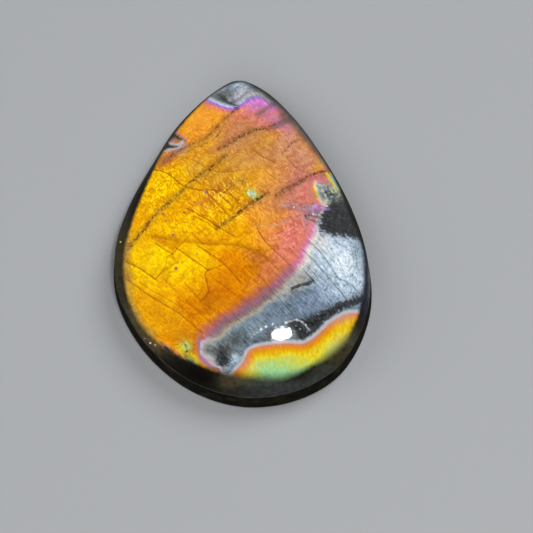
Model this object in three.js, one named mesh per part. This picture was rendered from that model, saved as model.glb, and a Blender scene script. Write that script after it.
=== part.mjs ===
import * as THREE from 'three';

// A pear-shaped labradorite cabochon, cut and polished from one piece of stone.
// Millimetres. The stone lies on its flat back at z = 0, its dome up and its point towards +Y.
// The origin is the middle of the back, below the middle of the outline.

const THICKNESS = 8.5;
const GIRDLE_HEIGHT = 3.5;
const BACK_BEVEL = 0.45;
const GIRDLE_LEAN = 0.35;
const HALF_WIDTH = 15;

// The dome follows (1 - inward)^power + rise^power = 1 from the girdle to its top.
const DOME_POWER = 2.4;
const DOME_START = 0.008;
const DOME_TOP = new THREE.Vector2(0.4, -3.4);
const EVEN_SHOULDER_REACH = 0.4;

const OUTLINE_STEPS = 112;
const DOME_RINGS = 15;

const BODY_COLOUR = '#4a4f4c';
const POLISH_ROUGHNESS = 0.12;

// The widest line of the girdle, from the point down the left side, round the blunt end and back up.
const OUTLINE = [
  [-0.6, 20.2], [-3.5, 18.7], [-7.9, 14.2], [-10.8, 9.3], [-13.7, 3.4],
  [-15.1, -1.6], [-14.9, -6.6], [-13.1, -11.0], [-10.2, -14.9], [-5.7, -18.4],
  [0.0, -20.2], [5.8, -19.6], [10.7, -17.0], [13.5, -13.2], [15.1, -8.1],
  [14.8, -2.3], [12.9, 3.9], [9.6, 10.3], [6.2, 15.3], [2.7, 18.8],
];

function outlinePoints() {
  const knots = OUTLINE.map(([x, y]) => new THREE.Vector3(x, y, 0));
  const curve = new THREE.CatmullRomCurve3(knots, true, 'centripetal');
  const points = curve.getSpacedPoints(OUTLINE_STEPS).slice(0, OUTLINE_STEPS);
  const box = new THREE.Box3().setFromPoints(points);
  const middle = box.getCenter(new THREE.Vector3());
  return points.map((point) => new THREE.Vector2(point.x - middle.x, point.y - middle.y));
}

// The unit direction that points into the stone, square to the outline at each of its points.
function inwardDirections(outline) {
  const count = outline.length;
  return outline.map((point, index) => {
    const before = outline[(index + count - 1) % count];
    const after = outline[(index + 1) % count];
    const along = after.clone().sub(before).normalize();
    return new THREE.Vector2(-along.y, along.x);
  });
}

// Near the girdle a ring keeps an even distance from the outline, and further in it shrinks
// towards the top of the dome.
function domeRing(outline, directions, inward, height) {
  const blend = THREE.MathUtils.smoothstep(inward, 0, EVEN_SHOULDER_REACH);
  return outline.map((point, index) => {
    const even = directions[index].clone().multiplyScalar(HALF_WIDTH);
    const toTop = DOME_TOP.clone().sub(point);
    const place = even.lerp(toTop, blend).multiplyScalar(inward).add(point);
    return new THREE.Vector3(place.x, place.y, height);
  });
}

function offsetRing(outline, directions, distance, height) {
  return domeRing(outline, directions, distance / HALF_WIDTH, height);
}

// Rings lie close together on the steep shoulder and further apart over the crown.
function domeRings(outline, directions) {
  const rise = THICKNESS - GIRDLE_HEIGHT;
  const leanInward = GIRDLE_LEAN / HALF_WIDTH;
  const startRise = (1 - (1 - DOME_START) ** DOME_POWER) ** (1 / DOME_POWER);
  const rings = [];
  for (let ring = 1; ring <= DOME_RINGS; ring += 1) {
    const turn = (ring / (DOME_RINGS + 1)) * (Math.PI / 2);
    const inward = THREE.MathUtils.lerp(DOME_START, 1, 1 - Math.cos(turn));
    const level = (1 - (1 - inward) ** DOME_POWER) ** (1 / DOME_POWER);
    const height = GIRDLE_HEIGHT + (rise * (level - startRise)) / (1 - startRise);
    rings.push(domeRing(outline, directions, inward + leanInward * (1 - inward), height));
  }
  return rings;
}

// A closed skin through the rings, with one point in the middle of the back and one on the top.
function skin(rings, backCentre, topCentre) {
  const count = rings[0].length;
  const points = [...rings.flat(), backCentre, topCentre];
  const backIndex = points.length - 2;
  const topIndex = points.length - 1;
  const lastRing = (rings.length - 1) * count;
  const faces = [];
  for (let step = 0; step < count; step += 1) {
    const next = (step + 1) % count;
    faces.push(backIndex, next, step);
    faces.push(topIndex, lastRing + step, lastRing + next);
    for (let ring = 0; ring < rings.length - 1; ring += 1) {
      const low = ring * count;
      const high = low + count;
      faces.push(low + step, low + next, high + next);
      faces.push(low + step, high + next, high + step);
    }
  }
  const geometry = new THREE.BufferGeometry().setFromPoints(points);
  geometry.setIndex(faces);
  geometry.computeVertexNormals();
  return geometry;
}

function cabochonGeometry() {
  const outline = outlinePoints();
  const directions = inwardDirections(outline);
  const rings = [
    offsetRing(outline, directions, BACK_BEVEL, 0),
    offsetRing(outline, directions, 0, BACK_BEVEL),
    offsetRing(outline, directions, GIRDLE_LEAN, GIRDLE_HEIGHT),
    ...domeRings(outline, directions),
  ];
  const backCentre = new THREE.Vector3(DOME_TOP.x, DOME_TOP.y, 0);
  const topCentre = new THREE.Vector3(DOME_TOP.x, DOME_TOP.y, THICKNESS);
  return skin(rings, backCentre, topCentre);
}

function labradoriteCabochon() {
  const polish = new THREE.MeshStandardMaterial({
    color: BODY_COLOUR,
    roughness: POLISH_ROUGHNESS,
    metalness: 0,
  });
  const stone = new THREE.Mesh(cabochonGeometry(), polish);
  stone.name = 'labradorite_cabochon';
  return stone;
}

const part = new THREE.Group();
part.add(labradoriteCabochon());

export default part;
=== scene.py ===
"""A polished pear-shaped labradorite cabochon, lying on its flat back on a plain pale floor.

The stone is one mesh. Its sheet of colour is painted by rules: drawn borders, soft dabs and
strokes set the broad colours, and the material adds fringes, foil creases and grain.
Lengths are in metres. Places on the picture are in pixels of its 533 by 533 frame, x to the right
and y down, and they are laid onto the dome along the camera's lines of sight.
"""

import math

import bpy
import numpy as np
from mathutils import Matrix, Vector


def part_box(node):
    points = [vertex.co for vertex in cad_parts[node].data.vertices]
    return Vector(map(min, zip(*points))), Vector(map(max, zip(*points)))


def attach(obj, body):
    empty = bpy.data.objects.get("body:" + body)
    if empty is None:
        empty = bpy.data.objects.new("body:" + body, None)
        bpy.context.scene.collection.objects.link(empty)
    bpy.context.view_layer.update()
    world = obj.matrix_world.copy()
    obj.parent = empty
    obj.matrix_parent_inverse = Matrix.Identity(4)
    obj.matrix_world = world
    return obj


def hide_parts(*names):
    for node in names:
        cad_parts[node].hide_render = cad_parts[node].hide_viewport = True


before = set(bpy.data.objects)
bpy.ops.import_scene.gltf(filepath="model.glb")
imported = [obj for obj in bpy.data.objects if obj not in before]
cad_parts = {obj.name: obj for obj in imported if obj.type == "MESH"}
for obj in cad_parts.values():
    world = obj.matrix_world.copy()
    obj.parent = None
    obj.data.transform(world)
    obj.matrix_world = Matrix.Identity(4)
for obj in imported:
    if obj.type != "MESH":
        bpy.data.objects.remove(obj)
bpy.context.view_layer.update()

NODE = "labradorite_cabochon"
MM = 0.001
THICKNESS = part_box(NODE)[1].z

# The stone's form. These are millimetres until MM scales them.
GIRDLE_HEIGHT = 3.5
BACK_BEVEL = 0.45
GIRDLE_LEAN = 0.35
HALF_WIDTH = 15
DOME_POWER = 2.4
DOME_START = 0.008
DOME_TOP = (0.4, -3.4)
EVEN_SHOULDER_REACH = 0.4
OUTLINE = [
    (-0.6, 20.2), (-3.5, 18.7), (-7.9, 14.2), (-10.8, 9.3), (-13.7, 3.4),
    (-15.1, -1.6), (-14.9, -6.6), (-13.1, -11.0), (-10.2, -14.9), (-5.7, -18.4),
    (0.0, -20.2), (5.8, -19.6), (10.7, -17.0), (13.5, -13.2), (15.1, -8.1),
    (14.8, -2.3), (12.9, 3.9), (9.6, 10.3), (6.2, 15.3), (2.7, 18.8),
]

OUTLINE_STEPS = 600
SPAN_SAMPLES = 60
OUTLINE_SOFTNESS = 3.0
BACK_RINGS = 3
BEVEL_TURNS = (30, 60, 90)
WALL_RINGS = 8
DOME_RINGS = 130
CROWN_RING_SHARE = 0.6

# The camera looks down on the stone from its blunt end.
IMAGE_SIZE = 533
SENSOR_WIDTH = 36.0
CAMERA_TILT = math.radians(20)
CAMERA_DISTANCE = 190 * MM
PIXELS_PER_MM = 8.63
CAMERA_AIM = (2.84 * MM, -4.3 * MM, 4.0 * MM)
CAMERA_CLIP = 0.01
FOCAL_PIXELS = PIXELS_PER_MM * CAMERA_DISTANCE / MM
PICTURE_MIDDLE = IMAGE_SIZE / 2

# Softboxes: a direction, a distance, a size and a power. They don't show in the polish.
SOFTBOXES = {
    "key": ((0.6, 0.55, 1.0), 0.6, 0.35, 2.6),
    "front": ((-0.1, -1.0, 1.1), 0.6, 0.5, 1.4),
    "left": ((-1.0, 0.0, 0.9), 0.6, 0.5, 1.6),
}
WORLD_LIGHT = 0.05
HIGHLIGHT_PLACE = (282, 335.2)
LEAST_FACING = 0.3
LAMP_DISTANCE = 0.5
LAMP_SIZE = (0.060, 0.039)
LAMP_TURN = math.radians(-44)
LAMP_POWER = 0.9
FLOOR_SIZE = 1.2
FLOOR_PIGMENT = 0.30
FLOOR_TINT = (0.97, 1.0, 1.04)
FLOOR_ROUGHNESS = 0.6

# What the world adds to every colour by its reflection in the polish.
GLOSS_VEIL = 0.0025

# The most that the paint is brightened where the light falls at a slant.
LARGEST_LIFT = 1.3

# The polish and the ground faces: how strongly they bend light, how rough they are and how deep
# their waves and scratches go.
POLISH_IOR = 1.56
POLISH_ROUGHNESS = 0.06
POLISH_WAVES = 6e-6
GROUND_ROUGHNESS = 0.35
GROUND_GLOSS = 0.2
GRINDING_DEPTH = 2e-5

# Red, green and blue as they show in the picture, 0 to 255.
PALETTE = {
    "lemon gold": (254, 208, 2), "gold": (249, 190, 8), "amber": (240, 168, 10),
    "deep gold": (222, 152, 12), "orange": (230, 138, 3), "burnt orange": (202, 118, 14),
    "bright orange": (243, 157, 62), "honey": (234, 166, 44), "straw": (216, 164, 60),
    "ochre": (207, 151, 54), "wheat": (201, 139, 80), "tan": (203, 132, 86), "clay": (208, 132, 112),
    "biscuit": (206, 144, 112), "peach": (208, 145, 92), "caramel": (216, 142, 76),
    "haze": (186, 146, 66), "brick": (184, 104, 72), "sienna": (196, 112, 52),
    "coral": (227, 128, 112), "salmon": (222, 126, 122), "blush": (217, 121, 138),
    "orchid": (214, 128, 176), "rose": (204, 130, 156), "pink": (208, 126, 190),
    "magenta": (184, 116, 176), "petal": (218, 168, 193), "shell": (222, 200, 197),
    "blossom": (204, 176, 176), "silver": (182, 188, 188), "cream": (226, 221, 211),
    "pearl": (208, 214, 214), "heather": (166, 102, 98), "mauve": (147, 101, 118),
    "plum": (134, 104, 113), "taupe": (138, 122, 112), "sand": (170, 160, 144),
    "mist": (130, 147, 158), "violet": (206, 146, 230), "iris": (198, 184, 244),
    "indigo": (96, 88, 168), "dusk": (160, 130, 150), "lilac": (190, 180, 200),
    "snow": (238, 242, 246), "ice": (206, 222, 236), "pale blue": (178, 197, 214),
    "steel blue": (126, 143, 168), "slate": (110, 126, 142), "graphite": (86, 94, 100),
    "ash": (150, 152, 150), "smoke": (106, 112, 108), "pewter": (84, 85, 86), "charcoal": (58, 60, 61),
    "coal": (44, 46, 46), "ink": (30, 32, 33), "black": (12, 11, 9), "soot": (30, 27, 21),
    "olive black": (58, 51, 33), "moss": (80, 70, 48), "grey green": (58, 63, 57),
    "sage": (88, 100, 94), "navy": (43, 47, 61), "bark": (74, 52, 30), "brown": (150, 72, 8),
    "umber": (110, 74, 48), "russet": (196, 122, 84), "copper": (220, 136, 48),
    "sunset": (228, 152, 14), "sun": (232, 186, 24), "yellow": (230, 212, 44),
    "citron": (211, 211, 82), "lime": (184, 208, 104), "mint": (157, 212, 150), "leaf": (150, 160, 70),
    "teal": (62, 104, 104), "cyan": (150, 208, 210), "lemon": (249, 235, 103), "maize": (249, 198, 70),
    "honeydew": (225, 238, 172), "amethyst": (144, 120, 185), "fuchsia": (196, 126, 222),
    "bright pink": (232, 137, 218), "bright violet": (132, 98, 222), "oyster": (178, 168, 162),
}


def camera_axes():
    back = np.array([0.0, -math.sin(CAMERA_TILT), math.cos(CAMERA_TILT)])
    right = np.array([1.0, 0.0, 0.0])
    up = np.cross(back, right)
    return right, up, back


def camera_position():
    return np.array(CAMERA_AIM) + camera_axes()[2] * CAMERA_DISTANCE


def picture_places(points):
    """Where points of the stone show in the picture."""
    right, up, back = camera_axes()
    offset = points - camera_position()
    depth = -(offset @ back)
    across = PICTURE_MIDDLE + FOCAL_PIXELS * (offset @ right) / depth
    down = PICTURE_MIDDLE - FOCAL_PIXELS * (offset @ up) / depth
    return np.stack([across, down], axis=1)


def smooth_curve(knots, samples, closed):
    """Points along the centripetal Catmull-Rom curve through the knots."""
    knots = np.array(knots, float)
    if not closed:
        first = 2 * knots[0] - knots[1]
        last = 2 * knots[-1] - knots[-2]
        knots = np.vstack([first, knots, last])
    count = len(knots)
    spans = range(count) if closed else range(1, count - 2)
    share = np.linspace(0, 1, samples, endpoint=False)[:, None]
    square = share ** 2
    cube = share ** 3
    pieces = []
    for span in spans:
        before, start, end, after = (knots[(span + step) % count] for step in (-1, 0, 1, 2))
        gap_before = math.sqrt(np.linalg.norm(start - before))
        gap = math.sqrt(np.linalg.norm(end - start))
        gap_after = math.sqrt(np.linalg.norm(after - end))
        leave = (start - before) / gap_before - (end - before) / (gap_before + gap)
        leave = (leave + (end - start) / gap) * gap
        arrive = (end - start) / gap - (after - start) / (gap + gap_after)
        arrive = (arrive + (after - end) / gap_after) * gap
        pieces.append(
            (2 * cube - 3 * square + 1) * start + (cube - 2 * square + share) * leave
            + (3 * square - 2 * cube) * end + (cube - square) * arrive
        )
    if not closed:
        pieces.append(knots[-2:-1])
    return np.vstack(pieces)


def evenly_spaced(curve, count):
    """The closed curve again, with points the same distance apart."""
    loop = np.vstack([curve, curve[:1]])
    reach = np.concatenate([[0], np.cumsum(np.linalg.norm(np.diff(loop, axis=0), axis=1))])
    wanted = np.linspace(0, reach[-1], count, endpoint=False)
    return np.stack([np.interp(wanted, reach, loop[:, axis]) for axis in (0, 1)], axis=1)


def softened(curve, softness):
    """The closed curve with each point averaged over its neighbours."""
    reach = int(softness * 4)
    steps = np.arange(-reach, reach + 1)
    weights = np.exp(-0.5 * (steps / softness) ** 2)
    weights /= weights.sum()
    return sum(weight * np.roll(curve, step, axis=0) for step, weight in zip(steps, weights))


def girdle_outline():
    curve = evenly_spaced(smooth_curve(OUTLINE, SPAN_SAMPLES, closed=True), OUTLINE_STEPS)
    curve = softened(curve, OUTLINE_SOFTNESS) * MM
    middle = (curve.min(axis=0) + curve.max(axis=0)) / 2
    return curve - middle


def inward_directions(outline):
    along = np.roll(outline, -1, axis=0) - np.roll(outline, 1, axis=0)
    along /= np.linalg.norm(along, axis=1)[:, None]
    return np.stack([-along[:, 1], along[:, 0]], axis=1)


def smooth_step(low, high, value):
    share = np.clip((value - low) / (high - low), 0, 1)
    return share * share * (3 - 2 * share)


def ring(outline, directions, inward, height):
    """A ring of points at a height. Near the girdle it keeps an even distance from the outline,
    and further in it shrinks towards the top of the dome."""
    blend = smooth_step(0, EVEN_SHOULDER_REACH, inward)
    even = directions * HALF_WIDTH * MM
    to_top = np.array(DOME_TOP) * MM - outline
    place = outline + (even + (to_top - even) * blend) * inward
    return np.column_stack([place, np.full(len(place), height)])


def dome_level(inward):
    return (1 - (1 - inward) ** DOME_POWER) ** (1 / DOME_POWER)


def profile():
    """Each ring's inward share and height, from the middle of the back round to the top."""
    bevel_inward = BACK_BEVEL / HALF_WIDTH
    lean_inward = GIRDLE_LEAN / HALF_WIDTH
    stations = []
    for step in range(1, BACK_RINGS + 1):
        share = step / BACK_RINGS
        stations.append((1 - share * (1 - bevel_inward), 0.0))
    for turn in BEVEL_TURNS:
        angle = math.radians(turn)
        inward = bevel_inward * (1 - math.sin(angle))
        stations.append((inward, BACK_BEVEL * MM * (1 - math.cos(angle))))
    for step in range(1, WALL_RINGS + 1):
        share = step / WALL_RINGS
        height = BACK_BEVEL + (GIRDLE_HEIGHT - BACK_BEVEL) * share
        stations.append((lean_inward * share, height * MM))
    rise = THICKNESS - GIRDLE_HEIGHT * MM
    start_level = dome_level(DOME_START)
    for step in range(1, DOME_RINGS + 1):
        share = step / (DOME_RINGS + 1)
        crowded = 1 - math.cos(share * math.pi / 2)
        reach = crowded + (share - crowded) * CROWN_RING_SHARE
        inward = DOME_START + (1 - DOME_START) * reach
        level = (dome_level(inward) - start_level) / (1 - start_level)
        height = GIRDLE_HEIGHT * MM + rise * level
        stations.append((inward + lean_inward * (1 - inward), height))
    return stations


def stone_faces(ring_count):
    """Quads between the rings, and a fan of triangles in the middle of the back and of the top."""
    back_point = ring_count * OUTLINE_STEPS
    top_point = back_point + 1
    last_ring = (ring_count - 1) * OUTLINE_STEPS
    faces = []
    for step in range(OUTLINE_STEPS):
        after = (step + 1) % OUTLINE_STEPS
        faces.append((back_point, after, step))
        faces.append((top_point, last_ring + step, last_ring + after))
    steps = np.arange(OUTLINE_STEPS)
    after = (steps + 1) % OUTLINE_STEPS
    for low in range(0, last_ring, OUTLINE_STEPS):
        high = low + OUTLINE_STEPS
        quads = np.stack([low + steps, low + after, high + after, high + steps], axis=1)
        faces.extend(quads.tolist())
    return faces


def stone_points():
    outline = girdle_outline()
    directions = inward_directions(outline)
    rings = [ring(outline, directions, inward, height) for inward, height in profile()]
    middle = np.array(DOME_TOP) * MM
    back_point = [[middle[0], middle[1], 0.0]]
    top_point = [[middle[0], middle[1], THICKNESS]]
    return np.vstack(rings + [back_point, top_point]), len(rings)


def new_object(name, points, faces):
    mesh = bpy.data.meshes.new(name)
    mesh.from_pydata(points, [], faces)
    mesh.update()
    piece = bpy.data.objects.new(name, mesh)
    bpy.context.scene.collection.objects.link(piece)
    return piece


def stone_object():
    points, ring_count = stone_points()
    piece = new_object("polished_stone", points.tolist(), stone_faces(ring_count))
    piece.data.shade_smooth()
    return piece, points


def mark_ground_faces(mesh):
    """Gives the second material to the faces of the girdle and the back."""
    centres = np.zeros(len(mesh.polygons) * 3, np.float32)
    mesh.polygons.foreach_get("center", centres)
    ground = centres[2::3] < GIRDLE_HEIGHT * MM
    mesh.polygons.foreach_set("material_index", ground.astype(np.int32))


def vertex_normals(mesh):
    normals = np.zeros(len(mesh.vertices) * 3, np.float32)
    mesh.vertices.foreach_get("normal", normals)
    return normals.reshape(-1, 3).astype(float)


def linear(colour):
    """A colour of the picture, 0 to 255, as linear light."""
    share = np.array(colour, float) / 255
    return np.where(share <= 0.04045, share / 12.92, ((share + 0.055) / 1.055) ** 2.4)


def pigment(colour):
    """The surface colour that renders as this colour of the picture in full light."""
    return np.clip(linear(colour) - GLOSS_VEIL, 0.0, 1.0)


def rgba(name):
    return (*pigment(PALETTE[name]).tolist(), 1.0)


def line_distances(places, line):
    """For each place: its signed distance across the line, how far it lies past the line's ends,
    and its plain distance to the line."""
    nearest = np.full(len(places), np.inf)
    across = np.zeros(len(places))
    beyond = np.zeros(len(places))
    last = len(line) - 2
    for index in range(len(line) - 1):
        start = line[index]
        step = line[index + 1] - start
        length = np.linalg.norm(step)
        direction = step / length
        offset = places - start
        run = offset @ direction
        side = offset[:, 0] * direction[1] - offset[:, 1] * direction[0]
        held = np.clip(run, 0, length)
        distance = np.hypot(side, run - held)
        past = np.zeros(len(places))
        if index == 0:
            past = np.maximum(past, -run)
        if index == last:
            past = np.maximum(past, run - length)
        signed = np.where(past > 0, side, np.where(side < 0, -distance, distance))
        mine = distance < nearest
        nearest = np.where(mine, distance, nearest)
        across = np.where(mine, signed, across)
        beyond = np.where(mine, past, beyond)
    return across, beyond, nearest


def area_depth(places, border):
    """How deep each place lies inside the closed border, negative outside it."""
    loop = np.vstack([border, border[:1]])
    distance = line_distances(places, loop)[2]
    inside = np.zeros(len(places), bool)
    for (x0, y0), (x1, y1) in zip(loop[:-1], loop[1:]):
        if y0 == y1:
            continue
        spans = (y0 > places[:, 1]) != (y1 > places[:, 1])
        crossing = x0 + (places[:, 1] - y0) / (y1 - y0) * (x1 - x0)
        inside ^= spans & (places[:, 0] < crossing)
    return np.where(inside, distance, -distance)


def dab_weight(places, across, down, wide, tall, turn):
    """A soft oval spot. Its turn in degrees takes its width from level to down on the right."""
    angle = math.radians(turn)
    offset = places - np.array([across, down])
    along = offset[:, 0] * math.cos(angle) + offset[:, 1] * math.sin(angle)
    aside = offset[:, 1] * math.cos(angle) - offset[:, 0] * math.sin(angle)
    return np.exp(-(((along / wide) ** 2 + (aside / tall) ** 2) ** DAB_FIRMNESS))


def brushed(places, ground, dabs, areas=()):
    """The ground colour with soft dabs and then areas with a firm edge laid over it."""
    colours = np.tile(np.array(PALETTE[ground], float), (len(places), 1))
    for across, down, wide, tall, turn, name, strength in dabs:
        weight = strength * dab_weight(places, across, down, wide, tall, turn)
        colours += weight[:, None] * (np.array(PALETTE[name], float) - colours)
    for name, strength, softness, border in areas:
        depth = area_depth(places, smooth_curve(border, BORDER_SAMPLES, closed=True))
        weight = strength * smooth_step(-softness, softness, depth)
        colours += weight[:, None] * (np.array(PALETTE[name], float) - colours)
    return colours


def spread(places, ground, dabs):
    """A number over the stone: the ground value, changed by soft dabs."""
    values = np.full(len(places), float(ground))
    for across, down, wide, tall, turn, value in dabs:
        values += dab_weight(places, across, down, wide, tall, turn) * (value - values)
    return values


# The drawn borders of the colour play.
FLASH_BORDER = [
    (238, 82.5), (217, 91), (195.5, 110), (175, 134), (158.5, 161), (144.5, 191), (132.5, 222),
    (125.5, 248), (124, 270), (126.5, 292), (133.5, 311), (144, 328.5), (158.5, 343), (175, 355),
    (190, 361), (204, 366), (222, 371), (240, 373.5), (262, 375.5), (280, 376), (296, 372),
    (312, 364.5), (326.5, 355), (337, 346), (345.5, 337), (352.5, 326.5), (358.5, 313), (362, 298),
    (364, 280), (363, 256), (359, 238), (353, 222), (341, 194), (328.5, 170), (310.5, 147),
    (289, 121.5), (273, 104.5), (257, 90.5), (248, 84),
]
GOLD_BORDER = [
    (203, 98), (210, 102), (218, 105.5), (226, 108), (234, 109), (240, 106), (246, 102),
    (252, 99), (258, 98), (265, 101), (274, 108), (290, 96), (330, 150), (337, 164),
    (329.5, 172), (332.5, 180), (336.5, 187), (330, 185), (322, 183.5), (315, 182), (313.5, 185.5),
    (316, 192), (319, 199), (322, 206), (318, 213),
    (315, 222), (313, 232), (308, 242), (303.5, 253), (299.5, 262), (291, 273), (278, 287),
    (262, 301), (246, 312), (231, 321.5), (217.5, 331.5), (207.5, 337.5), (200.5, 341), (198.5, 347),
    (200, 355), (205.5, 361), (213, 366), (220, 371), (212, 385), (150, 385), (100, 300),
    (90, 200), (150, 100),
]
RAINBOW_BORDER = [
    (370, 316), (358, 312.5), (347, 313), (337, 317.5), (328, 323.5), (320, 331.5), (311, 339),
    (302, 343), (290, 342.5), (278, 343), (265, 344.5), (255, 346.5), (249, 350), (245, 356),
    (241, 364), (234, 371), (228, 392), (280, 410), (350, 390), (385, 330),
]
CHARCOAL_BORDERS = [
    [(326, 208), (330, 203), (338, 201), (346, 203), (353, 211), (361, 226), (366, 240), (356, 239),
     (345, 236), (334, 235), (325, 232.5), (319, 228), (321, 220), (321, 214)],
    [(160, 145), (167, 137), (172, 131.5), (178.5, 135), (185, 140.5), (180, 141), (175, 138.5),
     (170, 139), (167, 141.5), (170, 144), (176, 145.5), (178, 147), (171, 149), (164, 151), (157, 155)],
    [(218, 94), (226, 98), (233, 102), (239, 107.5), (230, 104.5), (221, 99.5)],
]
# Dark areas: the dark band over the rainbow, whose left end takes in the dark round the highlight, a
# painted reflection; painted shade at the lower-left edge; the lobe's dark centre; and the dark rim at
# the highlight's left, also a painted reflection.
SHADE_AND_DARK_BAND_BORDERS = [
    [(364, 295), (352, 299), (340, 302), (330, 307), (318, 313), (306, 318), (295, 319),
     (288, 324), (294, 333), (300, 340), (309, 337), (317, 331), (324, 323), (332, 317),
     (342, 310.5), (353, 305.5), (364, 302)],
    [(161, 343), (169, 347), (178, 355), (186, 361), (193, 366), (186, 368), (170, 357)],
    [(216, 357), (223, 353), (230, 358), (229, 364), (221, 366)],
    [(267, 333), (272, 329), (276, 330), (273, 337), (276, 343), (270, 341)],
]

# Stops across the gold's edge for each kind of fringe: a place in pixels, inwards from the edge,
# and a colour.
FRINGES = {
    "plain": [
        (-13, "pale blue"), (-10, "ice"), (-8, "pearl"), (-5.5, "cream"), (-3, "shell"), (-1, "petal"),
        (1, "orchid"), (3, "blush"), (6, "salmon"), (10, "coral"),
    ],
    "muted": [
        (-13, "slate"), (-9, "mist"), (-5.5, "sand"), (-2.5, "taupe"), (0.5, "plum"), (4, "mauve"),
        (7, "heather"), (9.5, "brick"), (12.5, "sienna"), (16, "burnt orange"),
    ],
    "tight": [
        (-8, "graphite"), (-5.5, "ash"), (-3.4, "pale blue"), (-1.6, "iris"), (0, "bright violet"),
        (1.4, "rose"), (3, "coral"), (6, "bright orange"),
    ],
    "lobe": [
        (-9, "graphite"), (-6, "smoke"), (-3.4, "oyster"), (-1.8, "lilac"), (-0.5, "dusk"),
        (0.8, "brick"), (2.2, "sienna"), (4, "burnt orange"),
    ],
    "violet_edge": [
        (-7, "sage"), (-4, "silver"), (-2.4, "ash"), (-0.8, "amethyst"), (1, "fuchsia"),
        (3, "bright pink"), (5.5, "pink"), (10, "magenta"),
    ],
    "sunrise": [
        (-5, "graphite"), (-3.4, "mist"), (-2.5, "pearl"), (-1.6, "honeydew"), (-0.7, "lemon"),
        (0.4, "maize"), (1.8, "copper"), (4, "clay"), (7, "clay"),
    ],
}

# Numbers spread over the stone: a ground value, then dabs with a place, the width and height of
# an oval, its turn and a value.
SPREADS = {
    "muted": (0, [
        (255, 305, 60, 26, -40, 1.0), (235, 318, 46, 22, -34, 1.0), (287, 279, 16, 14, -40, 0.8),
        (302, 253, 15, 16, 0, 0.0), (194, 352, 15, 17, 0, 0.0), (232, 104, 60, 20, 0, 0.0),
    ]),
    "tight": (0, [(226, 103, 36, 14, 14, 1.0), (250, 100, 14, 10, 0, 1.0)]),
    "lobe": (0, [(196, 349, 14, 18, 0, 1.0), (214, 369, 16, 10, 0, 1.0)]),
    "violet_edge": (0, [(257, 101, 16, 12, 10, 1.0)]),
    "sunrise": (0, [(315, 192, 11, 12, 0, 1.0), (333, 180, 10, 12, -20, 1.0)]),
    "ragged": (1.0, [(170, 143, 16, 14, 0, 0.22), (228, 98, 16, 12, 0, 0.5)]),
    "narrowing": (1.0, [
        (226, 104, 40, 14, 14, 1.3), (214, 367, 12, 8, 0, 1.6), (317, 222, 10, 14, 0, 1.7),
        (308, 245, 12, 14, 0, 1.15), (316, 206, 8, 6, 0, 1.7), (257, 101, 14, 10, 10, 1.0),
        (200, 345, 20, 24, 0, 1.0),
    ]),
    "wander": (1.0, [
        (197, 353, 13, 17, 0, 0.35), (226, 104, 36, 12, 14, 0.3), (322, 188, 20, 14, 0, 0.35),
        (265, 298, 50, 20, -40, 1.6),
    ]),
    "flash_softness": (3.0, [
        (128, 275, 24, 70, 0, 4.0), (150, 335, 26, 26, 0, 5.0), (215, 375, 24, 14, 0, 5.0),
        (265, 378, 46, 16, 0, 13.0), (335, 350, 26, 26, 0, 12.0), (298, 130, 24, 46, -38, 11.0),
        (150, 180, 16, 60, 30, 3.0), (362, 265, 10, 40, 0, 4.0), (255, 90, 14, 8, 30, 8.0),
    ]),
    "crumple": (1.0, [
        (200, 115, 26, 14, -45, 0.6), (250, 135, 40, 20, -20, 0.75), (222, 202, 36, 28, -20, 1.6),
        (170, 188, 30, 22, -40, 1.4), (225, 295, 34, 24, -40, 0.75), (160, 315, 30, 30, 0, 0.8),
        (295, 225, 18, 24, 0, 1.2),
    ]),
    "hatch": (0.35, [
        (168, 180, 26, 16, -40, 1.0), (224, 203, 26, 17, -10, 1.9), (186, 212, 34, 24, 0, 0.9),
        (285, 160, 24, 16, 30, 0.7), (180, 300, 44, 30, 35, 0.3), (200, 115, 26, 14, -45, 0.0),
        (290, 240, 20, 26, 0, 0.8), (255, 275, 24, 16, -40, 0.6),
    ]),
    "mottle": (0.15, [
        # The second mottle dab mottles the painted reflection round the highlight.
        (217, 350, 18, 16, 0, 0.9), (300, 329, 14, 9, 0, 0.8), (232, 96, 22, 10, 0, 0.6),
    ]),
    "sparkle": (0.0, [
        # The second sparkle dab puts painted glints in the dark beside the highlight.
        (330, 193, 12.5, 8.5, 14, 1.0), (299, 329, 10, 7, 0, 0.6), (318, 216, 8, 8, 0, 0.5),
    ]),
    "faded": (0.0, [
        (342, 315, 18, 7, -20, 1.0), (337, 345, 14, 6, -45, 0.7), (250, 366, 10, 8, 0, 0.5),
    ]),
}

# How fast the rainbow's colours follow each other past its edge.
RAINBOW_PACE = (1.0, [
    (300, 356, 18, 20, 0, 0.6), (325, 345, 20, 30, 0, 0.4), (348, 325, 18, 24, 0, 0.15),
])

# The borders whose depth is stored as it is.
AREA_BORDERS = {
    "gold_depth": [GOLD_BORDER], "charcoal_depth": CHARCOAL_BORDERS, "shade_and_dark_band_depth": SHADE_AND_DARK_BAND_BORDERS,
}

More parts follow.
